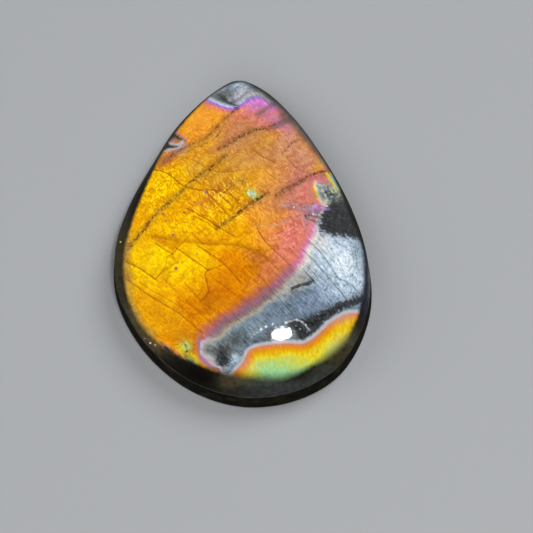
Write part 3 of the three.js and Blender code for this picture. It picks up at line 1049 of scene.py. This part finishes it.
class Shading:
    """A material's nodes, added one call at a time."""

    def __init__(self, name):
        self.material = bpy.data.materials.new(name)
        self.material.use_nodes = True
        self.nodes = self.material.node_tree.nodes
        self.links = self.material.node_tree.links
        self.nodes.clear()

    def node(self, kind, settings=None, inputs=None):
        node = self.nodes.new(kind)
        for key, value in (settings or {}).items():
            setattr(node, key, value)
        for key, value in (inputs or {}).items():
            if isinstance(value, bpy.types.NodeSocket):
                self.links.new(value, node.inputs[key])
            else:
                node.inputs[key].default_value = value
        return node

    def finish(self, base_color, roughness, ior=1.5, specular=0.5, height=None, height_scale=1.0):
        inputs = {"Base Color": base_color, "Roughness": roughness, "IOR": ior,
                  "Specular IOR Level": specular}
        if height is not None:
            bump = self.node("ShaderNodeBump", inputs={"Height": height, "Distance": height_scale})
            inputs["Normal"] = bump.outputs[0]
        surface = self.node("ShaderNodeBsdfPrincipled", inputs=inputs)
        self.node("ShaderNodeOutputMaterial", inputs={"Surface": surface.outputs[0]})
        return self.material

    def math(self, operation, *values):
        return self.node("ShaderNodeMath", {"operation": operation}, dict(enumerate(values))).outputs[0]

    def scaled(self, value, factor, shift=0.0):
        return self.math("MULTIPLY_ADD", value, factor, shift)

    def sum(self, *values):
        total = values[0]
        for value in values[1:]:
            total = self.math("ADD", total, value)
        return total

    def product(self, *values):
        total = values[0]
        for value in values[1:]:
            total = self.math("MULTIPLY", total, value)
        return total

    def attribute(self, name, output="Fac"):
        return self.node("ShaderNodeAttribute", {"attribute_name": name}).outputs[output]

    def step(self, value, low, high):
        """0 at low, 1 at high and a soft step between them."""
        inputs = {"Value": value, "From Min": low, "From Max": high}
        return self.node("ShaderNodeMapRange", {"interpolation_type": "SMOOTHSTEP"}, inputs).outputs[0]

    def blend(self, share, below, above, way="MIX"):
        settings = {"data_type": "RGBA", "blend_type": way}
        return self.node("ShaderNodeMix", settings, {0: share, 6: below, 7: above}).outputs[2]

    def brighten(self, colour, factor):
        """The colour times a number that may be above 1."""
        inputs = {0: colour, "Scale": factor}
        return self.node("ShaderNodeVectorMath", {"operation": "SCALE"}, inputs).outputs[0]

    def lit(self, colour, relief, shares, base):
        """The colour times base plus a share of the relief for each of red, green and blue."""
        levels = [self.scaled(relief, share, base) for share in shares]
        light = self.node("ShaderNodeCombineXYZ", inputs=dict(enumerate(levels))).outputs[0]
        inputs = {0: colour, 1: light}
        return self.node("ShaderNodeVectorMath", {"operation": "MULTIPLY"}, inputs).outputs[0]

    def largest(self, *values):
        most = values[0]
        for value in values[1:]:
            most = self.math("MAXIMUM", most, value)
        return most

    def noise(self, vector, size, detail=2.0, roughness=0.5):
        """Smooth noise between 0 and 1, whose lumps are about as big as size."""
        inputs = {"Vector": vector, "Scale": 1 / size, "Detail": detail, "Roughness": roughness}
        return self.node("ShaderNodeTexNoise", inputs=inputs).outputs[0]

    def around_zero(self, vector, size, reach, detail=2.0, roughness=0.5):
        """Smooth noise between -reach and reach."""
        return self.scaled(self.noise(vector, size, detail, roughness), 2 * reach, -reach)

    def stretched(self, vector, turn, along, across):
        """The vector in lengths of along and across, turned so that along runs down to the right."""
        size = (along, across, across)
        inputs = {"Vector": vector, "Rotation": (0, 0, math.radians(turn)), "Scale": size}
        return self.node("ShaderNodeMapping", {"vector_type": "TEXTURE"}, inputs).outputs[0]

    def streaks(self, vector, turn, along, across, reach, detail=2, roughness=0.5):
        """Smooth noise between -reach and reach, drawn out along one direction."""
        return self.around_zero(self.stretched(vector, turn, along, across), 1, reach, detail, roughness)

    def spots(self, vector, size, low, high, detail=2, roughness=0.5):
        """1 where smooth noise lies past high and 0 where it lies past low."""
        return self.step(self.noise(vector, size, detail, roughness), low, high)

    def moved(self, vector, shift):
        return self.node("ShaderNodeVectorMath", {"operation": "ADD"}, {0: vector, 1: shift}).outputs[0]

    def warped(self, vector, size, reach):
        """The vector, pushed about by smooth noise."""
        inputs = {"Vector": vector, "Scale": 1 / size, "Detail": 1.0}
        push = self.node("ShaderNodeTexNoise", inputs=inputs).outputs["Color"]
        inputs = {0: push, 1: (2 * reach, 2 * reach, 0), 2: vector}
        return self.node("ShaderNodeVectorMath", {"operation": "MULTIPLY_ADD"}, inputs).outputs[0]

    def ridges(self, vector, size, detail=2.0):
        """1 along thin winding lines and less between them."""
        fold = self.math("ABSOLUTE", self.around_zero(vector, size, 1, detail))
        return self.scaled(fold, -1, 1)

    def folds(self, vector, size):
        """The distance to the nearest of the straight folds that cut the surface into cells."""
        settings = {"voronoi_dimensions": "2D", "feature": "DISTANCE_TO_EDGE"}
        inputs = {"Vector": vector, "Scale": 1 / size}
        return self.node("ShaderNodeTexVoronoi", settings, inputs).outputs["Distance"]

    def facets(self, vector, size, shift):
        """Light and dark faces on the two sides of each fold, from -1 to 1."""
        ahead = self.folds(self.moved(vector, (*shift, 0)), size)
        slope = self.math("SUBTRACT", ahead, self.folds(vector, size))
        return self.scaled(slope, size / math.hypot(*shift))

    def ramp(self, value, stops):
        """A colour ramp through stops, each a place on value's own scale and a colour's name."""
        low = stops[0][0]
        span = stops[-1][0] - low
        inputs = {"Value": value, "From Min": low, "From Max": low + span}
        share = self.node("ShaderNodeMapRange", inputs=inputs).outputs[0]
        node = self.node("ShaderNodeValToRGB", inputs={0: share})
        elements = node.color_ramp.elements
        elements.remove(elements[-1])
        for index, (place, name) in enumerate(stops):
            element = elements[0] if index == 0 else elements.new((place - low) / span)
            element.position = (place - low) / span
            element.color = rgba(name)
        return node.outputs[0]


def gold_sheet(shading, picture):
    """Gold colour like crumpled foil: bright and dark faces of three sizes, and darker creases."""
    crumple = shading.attribute("crumple")
    hatch = shading.attribute("hatch")
    bent = shading.warped(picture, 11, 5)
    scarring = shading.scaled(hatch, 0.65, 0.35)
    relief = [
        shading.scaled(shading.facets(shading.warped(picture, 30, 8), 22, (0.8, 0.5)), 0.10),
        shading.scaled(shading.facets(bent, 9.5, (0.4, 0.5)), 0.10),
        shading.scaled(shading.facets(shading.stretched(bent, 40, 1.9, 1), 4.4, (0.25, 0.55)), 0.12),
        shading.around_zero(picture, 1.5, 0.25, 2),
    ]
    for turn, length, spot in GOLD_HATCHING:
        patch = shading.spots(shading.moved(picture, (spot, spot, 0)), 17, 0.42, 0.62)
        lines = shading.streaks(picture, turn, length, 1.5, 0.95, 1)
        relief.append(shading.product(lines, patch, scarring))
    relief = shading.largest(shading.product(crumple, shading.sum(*relief)), GOLD_DEEPEST_SHADE)
    faces = shading.scaled(shading.attribute("faces"), 0.13)
    glints = shading.spots(shading.stretched(bent, 40, 3.2, 1.5), 1, 0.58, 0.70)
    shine = shading.product(hatch, shading.scaled(glints, 0.3, 0.05))
    relief = shading.sum(relief, faces, shine, shading.around_zero(picture, 20, 0.2, 2))
    colour = shading.lit(shading.attribute("gold_tint", "Color"), relief, GOLD_SHARES, GOLD_LEVEL)
    patchy = shading.spots(picture, 15, 0.40, 0.56)
    rare = shading.spots(shading.moved(picture, (70, 30, 0)), 12, 0.46, 0.58)
    folded = shading.step(shading.folds(bent, 14), 0.06, 0.012)
    small = shading.step(shading.folds(shading.stretched(bent, 40, 2.2, 1), 7), 0.08, 0.02)
    hatched = shading.step(shading.ridges(shading.stretched(picture, 41, 32, 3.4), 1, 1), 0.87, 0.97)
    cracked = shading.step(shading.ridges(bent, 13, 3), 0.94, 0.99)
    crease = shading.largest(
        shading.product(folded, patchy, crumple, 0.5), shading.product(small, rare, hatch, 0.4),
        shading.product(hatched, hatch, 0.5), shading.product(cracked, patchy, crumple, 0.5),
    )
    creased = shading.blend(1.0, colour, CREASE_TINT, "MULTIPLY")
    return shading.blend(crease, colour, creased)


def silver_sheet(shading, picture):
    """Silver to slate colour: straight hatching, small faces, and cloudy lumps where it is mottled."""
    bent = shading.warped(picture, 8, 4)
    cloud = shading.streaks(picture, 60, 7, 3.6, 2.0, 4, 0.7)
    light = shading.sum(
        shading.scaled(shading.facets(bent, 10, (0.7, 0.7)), 0.10, SILVER_LEVEL),
        shading.streaks(picture, 43, 36, 1.5, 0.9, 1),
        shading.streaks(bent, -52, 16, 1.7, 0.5, 1),
        shading.around_zero(picture, 1.6, 0.22, 2),
        shading.product(shading.attribute("mottle"), cloud),
    )
    lines = shading.step(shading.ridges(shading.stretched(picture, 44, 20, 3.4), 1, 1), 0.93, 0.99)
    curls = shading.step(shading.ridges(bent, 14, 2), 0.95, 0.995)
    light = shading.product(light, shading.scaled(shading.largest(lines, curls), -0.28, 1))
    light = shading.largest(light, SILVER_DEEPEST_SHADE)
    return shading.brighten(shading.attribute("silver_tint", "Color"), light)


def sparkling_patch(shading, picture, below):
    """Dark stone full of small bright splinters; beside the highlight they are painted glints."""
    sparkle = shading.attribute("sparkle")
    colour = shading.blend(shading.product(sparkle, SPARKLE_STRENGTH), below, rgba("graphite"))
    for name, size, shift in SPLINTERS:
        moved = shading.moved(picture, (shift, 0, 0))
        splinters = shading.stretched(moved, SPLINTER_TURN, SPLINTER_LENGTH * size, size)
        share = shading.spots(splinters, 1, 0.53, 0.64, 2, 0.6)
        share = shading.product(share, sparkle, SPARKLE_STRENGTH)
        colour = shading.blend(share, colour, rgba(name))
    return colour


def gold_border(shading, picture, below, above):
    """The gold sheet over the silver one, with its fringe between them."""
    wander = shading.sum(
        shading.around_zero(picture, 12, 3.2, 3),
        shading.streaks(picture, 44, 9, 1.7, 3.0),
    )
    wander = shading.product(wander, shading.attribute("wander"))
    place = shading.sum(shading.attribute("gold_depth"), wander)
    place = shading.product(place, shading.attribute("narrowing"))
    fringe = None
    for name, stops in FRINGES.items():
        colour = shading.ramp(place, stops)
        fringe = colour if fringe is None else shading.blend(shading.attribute(name), fringe, colour)
    fringe = shading.lit(fringe, shading.streaks(picture, 44, 8, 1.3, 0.7), FRINGE_SHARES, FRINGE_LEVEL)
    colour = shading.blend(shading.step(place, -1, 1), below, above)
    reach = shading.scaled(shading.attribute("muted"), 6, 11)
    reach = shading.sum(reach, shading.scaled(shading.attribute("lobe"), -5))
    near = shading.step(place, reach, shading.scaled(reach, 1, -7))
    tight = shading.largest(shading.attribute("sunrise"), shading.scaled(shading.attribute("lobe"), 0.6))
    far = shading.step(place, shading.scaled(tight, 8, -12), shading.scaled(tight, 4, -6))
    return shading.blend(shading.product(near, far), colour, fringe)


def rainbow_sheet(shading, picture, below):
    """The band at the blunt end: a pale and a red fringe, then orange, yellow, lime and mint."""
    streak = shading.streaks(picture, 78, 12, 2.6, 1)
    rough = shading.around_zero(picture, 6, 1.2, 2)
    edge = shading.sum(shading.attribute("rainbow_depth"), streak, rough)
    deep = shading.step(edge, 7, 14)
    spill = shading.sum(shading.around_zero(picture, 11, 7, 3), shading.scaled(streak, 2.5))
    place = shading.sum(edge, shading.product(deep, spill))
    light = shading.sum(streak, shading.around_zero(picture, 1.7, 0.35, 2))
    colour = shading.lit(shading.ramp(place, RAINBOW_STOPS), light, RAINBOW_SHARES, RAINBOW_LEVEL)
    colour = shading.blend(shading.scaled(shading.attribute("faded"), 0.3), colour, rgba("silver"))
    return shading.blend(shading.step(edge, -4.5, -1.5), below, colour)


def dark_patch(shading, picture, below, name, turn, stops):
    """A dark area with a ragged edge, streaked with black and grey."""
    streaks = shading.noise(shading.stretched(picture, turn, 9, 1.8), 1, 2)
    cloud = shading.noise(picture, 4.5, 3, 0.6)
    wander = shading.sum(shading.scaled(streaks, 14, -7), shading.scaled(cloud, 7, -3.5))
    edge = shading.sum(shading.attribute(name), shading.product(wander, shading.attribute("ragged")))
    grey = shading.math("ADD", shading.scaled(streaks, 0.5), shading.scaled(cloud, 0.5))
    return shading.blend(shading.step(edge, -2.2, 2.2), below, shading.ramp(grey, stops))


def body_stone(shading, picture):
    """The dark body, faintly mottled with green and grey, with painted shade at the lower left and
    painted reflections on the lower right shoulder.
    """
    cloud = shading.noise(picture, 6, 4, 0.65)
    return shading.brighten(shading.attribute("body_and_painted_light_tint", "Color"), shading.scaled(cloud, 2.2, -0.1))


def drawn_strokes(shading, picture, colour, layer_count):
    """Veins, creases and scratches over the colour, and a painted glint arc beside the highlight."""
    thin = shading.spots(picture, 13, 0.56, 0.44, 1)
    gaps = shading.largest(shading.spots(picture, 2.3, 0.57, 0.45, 3), shading.scaled(thin, 0.5))
    wander = shading.around_zero(picture, 2.6, 1.3, 3)
    for index in range(layer_count):
        shape = shading.attribute(f"stroke_shape_{index}", "Vector")
        parts = shading.node("ShaderNodeSeparateXYZ", inputs={0: shape})
        signed = shading.math("ADD", parts.outputs[0], wander)
        level = shading.step(shading.math("ABSOLUTE", signed), 1.6, 0.3)
        one_sided = shading.product(shading.step(signed, -0.3, 0.1), shading.step(signed, 2.2, 0.1))
        share = shading.node("ShaderNodeMix", inputs={0: parts.outputs[2], 2: level, 3: one_sided})
        tint = shading.node("ShaderNodeAttribute", {"attribute_name": f"stroke_tint_{index}"})
        whole = shading.scaled(shading.math("MULTIPLY", parts.outputs[1], gaps), -1, 1)
        share = shading.product(share.outputs[0], tint.outputs["Alpha"], whole)
        colour = shading.blend(share, colour, tint.outputs["Color"])
    return colour


def drawn_specks_and_glints(shading, picture, colour):
    tint = shading.node("ShaderNodeAttribute", {"attribute_name": "speck_and_glint_tint"})
    nearness = shading.sum(tint.outputs["Alpha"], shading.around_zero(picture, 1.8, 0.35, 2))
    return shading.blend(shading.step(nearness, 0.35, 0.8), colour, tint.outputs["Color"])


def polished_material(layer_count):
    shading = Shading("labradorite")
    picture = shading.attribute("picture", "Vector")
    gold = gold_sheet(shading, picture)
    silver = silver_sheet(shading, picture)
    colour = gold_border(shading, picture, silver, gold)
    colour = sparkling_patch(shading, picture, colour)
    # The second dark patch also holds painted shade and painted reflection round the highlight.
    for name, turn, stops in DARK_PATCHES:
        colour = dark_patch(shading, picture, colour, name, turn, stops)
    colour = rainbow_sheet(shading, picture, colour)
    colour = drawn_strokes(shading, picture, colour, layer_count)
    ragged = shading.around_zero(picture, 5, 1.2, 3)
    edge = shading.math("ADD", shading.attribute("flash"), ragged)
    edge = shading.math("DIVIDE", edge, shading.attribute("flash_softness"))
    colour = shading.blend(shading.step(edge, -0.6, 0.6), body_stone(shading, picture), colour)
    # Specks of the stone, and painted glints round the highlight and on the left rim.
    colour = drawn_specks_and_glints(shading, picture, colour)
    colour = shading.brighten(colour, shading.attribute("lift"))
    smudge = shading.around_zero(picture, 30, 0.03, 3)
    waves = shading.noise(picture, 5, 3, 0.6)
    roughness = shading.scaled(smudge, 1, POLISH_ROUGHNESS)
    return shading.finish(colour, roughness, ior=POLISH_IOR, height=waves, height_scale=POLISH_WAVES)


def ground_material():
    """The matt girdle and back: dark stone, ground with fine scratches, with a paler back. The girdle's
    near-black is partly the stone's dark body, partly painted shade.
    """
    shading = Shading("ground_stone")
    place = shading.attribute("place", "Vector")
    cloud = shading.noise(place, 1.2, 4, 0.5)
    scratches = shading.streaks(place, 24, 5, 0.09, 0.5)
    height = shading.node("ShaderNodeSeparateXYZ", inputs={0: place}).outputs[2]
    # The girdle's greys, near black: partly the stone's own colour, partly painted shade.
    edge = shading.ramp(cloud, [(0.3, "black"), (0.5, "soot"), (0.8, "olive black")])
    back = shading.ramp(cloud, [(0.3, "charcoal"), (0.5, "pewter"), (0.7, "smoke")])
    colour = shading.blend(shading.step(height, BACK_BEVEL, 0), edge, back)
    colour = shading.brighten(colour, shading.scaled(scratches, 1, 1))
    # A paler band at the top of the girdle: partly wear, partly a painted highlight along the ridge.
    ridge_wear_and_highlight = shading.product(shading.step(height, GIRDLE_HEIGHT - 0.25, GIRDLE_HEIGHT), cloud)
    colour = shading.blend(ridge_wear_and_highlight, colour, rgba("smoke"))
    roughness = shading.scaled(cloud, 0.4, GROUND_ROUGHNESS)
    return shading.finish(colour, roughness, specular=GROUND_GLOSS, height=scratches,
                          height_scale=GRINDING_DEPTH)


def floor_object():
    half = FLOOR_SIZE / 2
    corners = [(-half, -half, 0), (half, -half, 0), (half, half, 0), (-half, half, 0)]
    piece = new_object("floor", corners, [(0, 1, 2, 3)])
    piece.visible_glossy = False
    colour = (*(FLOOR_PIGMENT * share for share in FLOOR_TINT), 1.0)
    piece.data.materials.append(Shading("floor").finish(colour, FLOOR_ROUGHNESS))
    return piece


def add_camera():
    data = bpy.data.cameras.new("camera")
    data.sensor_width = SENSOR_WIDTH
    data.lens = SENSOR_WIDTH * FOCAL_PIXELS / IMAGE_SIZE
    data.clip_start = CAMERA_CLIP
    camera = bpy.data.objects.new("camera", data)
    camera.location = camera_position()
    camera.rotation_euler = (CAMERA_TILT, 0, 0)
    bpy.context.scene.collection.objects.link(camera)
    bpy.context.scene.camera = camera


def add_area_light(name, target, direction, distance, size, power):
    """An oval soft light that looks at the target from a direction."""
    data = bpy.data.lights.new(name, "AREA")
    data.shape = "ELLIPSE"
    data.size, data.size_y = size
    data.energy = power
    light = bpy.data.objects.new(name, data)
    direction = Vector(direction).normalized()
    light.location = Vector(target) + direction * distance
    light.rotation_euler = direction.to_track_quat("Z", "Y").to_euler()
    bpy.context.scene.collection.objects.link(light)
    return light


def add_softboxes():
    for name, (direction, distance, size, power) in SOFTBOXES.items():
        light = add_area_light(name, (0, 0, 0), direction, distance, (size, size), power)
        light.visible_glossy = False


def add_lamp(points, normals):
    """A small lamp, whose mirror image on the dome shows at the highlight's place."""
    spot, direction = lamp_aim(points, normals)
    lamp = add_area_light("lamp", spot, direction, LAMP_DISTANCE, LAMP_SIZE, LAMP_POWER)
    lamp.rotation_euler.rotate_axis("Z", LAMP_TURN)


def set_world():
    world = bpy.data.worlds.new("world")
    world.use_nodes = True
    background = world.node_tree.nodes["Background"]
    background.inputs["Color"].default_value = (1, 1, 1, 1)
    background.inputs["Strength"].default_value = WORLD_LIGHT
    bpy.context.scene.world = world
    bpy.context.scene.view_settings.view_transform = "Standard"


add_camera()
stone, stone_spots = stone_object()
stroke_layer_count = paint_stone(stone.data, stone_spots)
stone.data.materials.append(polished_material(stroke_layer_count))
stone.data.materials.append(ground_material())
mark_ground_faces(stone.data)
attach(stone, "root")
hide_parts(NODE)
floor_object()
set_world()
add_softboxes()
add_lamp(stone_spots, vertex_normals(stone.data))
